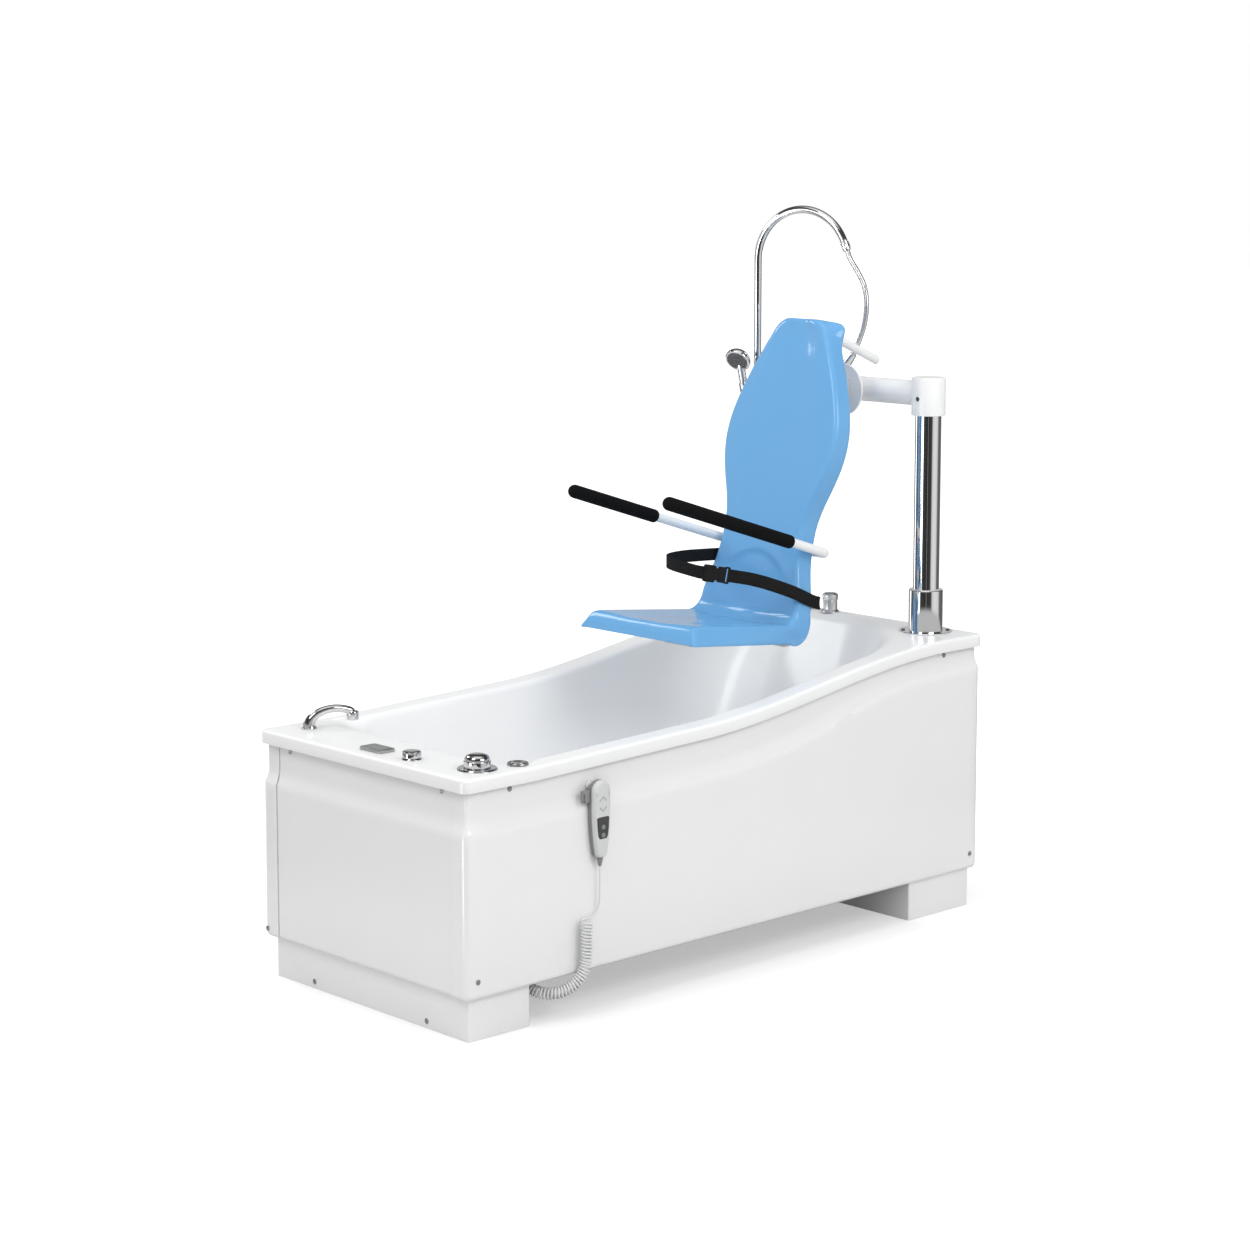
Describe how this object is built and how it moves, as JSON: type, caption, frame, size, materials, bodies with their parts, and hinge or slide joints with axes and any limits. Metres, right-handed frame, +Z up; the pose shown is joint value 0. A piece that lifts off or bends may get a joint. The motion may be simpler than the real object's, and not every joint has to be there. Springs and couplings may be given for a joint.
{
  "type": "assisted bath",
  "caption": "Height-fixed assisted bath with a column-lift swinging chair, lap belt, hand shower, hand control and chrome deck fittings.",
  "frame": {"origin": "on the floor under the middle of the bath's box, without its cord and hose", "axes": "+X from the foot end with the taps to the head end with the column, +Y from the front with the hand control to the back with the shower riser, +Z up"},
  "size_m": [2.0535, 0.9453, 2.1219],
  "materials": {
    "acrylic": "glossy white moulded shell",
    "panel": "semi-gloss white sheet",
    "screw_steel": "plain",
    "frame_paint": "grey powder coat",
    "foot_rubber": "matt",
    "chrome": "polished",
    "grey_plastic": "fine grain",
    "display_plastic": "polished",
    "valve_brass": "cast",
    "bush_plastic": "natural",
    "actuator_paint": "satin",
    "rod_steel": "ground",
    "white_paint": "glossy powder coat",
    "seat_blue": "glossy moulding",
    "grip_foam": "foam",
    "webbing": "woven",
    "buckle_plastic": "satin",
    "control_plastic": "fine grain",
    "cord_plastic": "satin"
  },
  "bodies": {
    "bath": {"bath_shell": "acrylic", "front_panel": "panel", "back_panel": "panel", "foot_panel": "panel", "head_panel": "panel", "foot_plinth": "panel", "head_plinth": "panel", "panel_screws": "screw_steel", "underframe": "frame_paint", "levelling_feet": "foot_rubber", "waste_outlet": "chrome", "waste_trap": "grey_plastic", "bath_spout": "chrome", "display_panel": "display_plastic", "diverter_base": "chrome", "mixer_plate": "chrome", "button_ring": "chrome", "mixing_valve": "valve_brass", "inlet_base": "chrome", "column_collar": "chrome", "collar_screws": "screw_steel", "column_housing": "frame_paint", "guide_bushes": "bush_plastic", "lift_actuator": "actuator_paint", "control_box": "grey_plastic", "shower_riser": "chrome", "hose_union": "chrome", "shower_hose": "chrome", "hose_cone": "chrome", "shower_handset": "chrome", "handset_holder": "chrome", "control_hook": "white_paint", "control_casing": "control_plastic", "cord_relief": "grey_plastic", "control_cord": "cord_plastic", "curly_cord": "cord_plastic", "cord_gland": "grey_plastic"},
    "lift": {"lift_tube": "chrome", "actuator_rod": "rod_steel"},
    "chair": {"column_cap": "white_paint", "cap_screw": "screw_steel", "support_arm": "white_paint", "hub_disc": "white_paint", "seat_bracket": "frame_paint", "seat_shell": "seat_blue", "push_handle": "white_paint", "lap_belt": "webbing", "buckle_plug": "buckle_plastic", "buckle_socket": "buckle_plastic"},
    "front_armrest": {"armrest_front": "white_paint", "grip_front": "grip_foam"},
    "back_armrest": {"armrest_back": "white_paint", "grip_back": "grip_foam"},
    "plug": {"waste_plug": "chrome"},
    "diverter": {"diverter_knob": "chrome"},
    "mixer": {"mixer_knob": "chrome"},
    "inlet": {"inlet_knob": "chrome"},
    "button": {"push_button": "chrome"},
    "key_up": {"raise_key": "grey_plastic"},
    "key_down": {"lower_key": "grey_plastic"}
  },
  "joints": [
    {"name": "column_lift", "type": "slide", "parent": "bath", "child": "lift", "axis": [0, 0, 1], "range_m": [-0.5, 0]},
    {"name": "seat_swing", "type": "hinge", "parent": "lift", "child": "chair", "pos_m": [0.928, -0.296, 1.5], "axis": [0, 0, 1], "range_deg": [0, 90]},
    {"name": "front_armrest_fold", "type": "hinge", "parent": "chair", "child": "front_armrest", "pos_m": [0.597, -0.15, 1.101], "axis": [0, 1, 0], "range_deg": [0, 38]},
    {"name": "back_armrest_fold", "type": "hinge", "parent": "chair", "child": "back_armrest", "pos_m": [0.597, 0.15, 1.101], "axis": [0, 1, 0], "range_deg": [0, 38]},
    {"name": "mixer_turn", "type": "hinge", "parent": "bath", "child": "mixer", "pos_m": [-0.911, -0.359, 0.71], "axis": [0, 0, 1], "range_deg": [-120, 120]},
    {"name": "diverter_turn", "type": "hinge", "parent": "bath", "child": "diverter", "pos_m": [-0.96, -0.15, 0.71], "axis": [0, 0, 1], "range_deg": [-90, 90]},
    {"name": "inlet_turn", "type": "hinge", "parent": "bath", "child": "inlet", "pos_m": [0.987, 0.152, 0.875], "axis": [0, 0, 1], "range_deg": [0, 180]},
    {"name": "push_button_press", "type": "slide", "parent": "bath", "child": "button", "axis": [0, 0, -1], "range_m": [0, 0.003], "stiffness_N_per_m": 800},
    {"name": "raise_key_press", "type": "slide", "parent": "bath", "child": "key_up", "axis": [0, 1, 0], "range_m": [0, 0.001], "stiffness_N_per_m": 1200},
    {"name": "lower_key_press", "type": "slide", "parent": "bath", "child": "key_down", "axis": [0, 1, 0], "range_m": [0, 0.001], "stiffness_N_per_m": 1200},
    {"name": "plug_lift", "type": "slide", "parent": "bath", "child": "plug", "axis": [0, 0, 1], "range_m": [0, 0.008]}
  ]
}
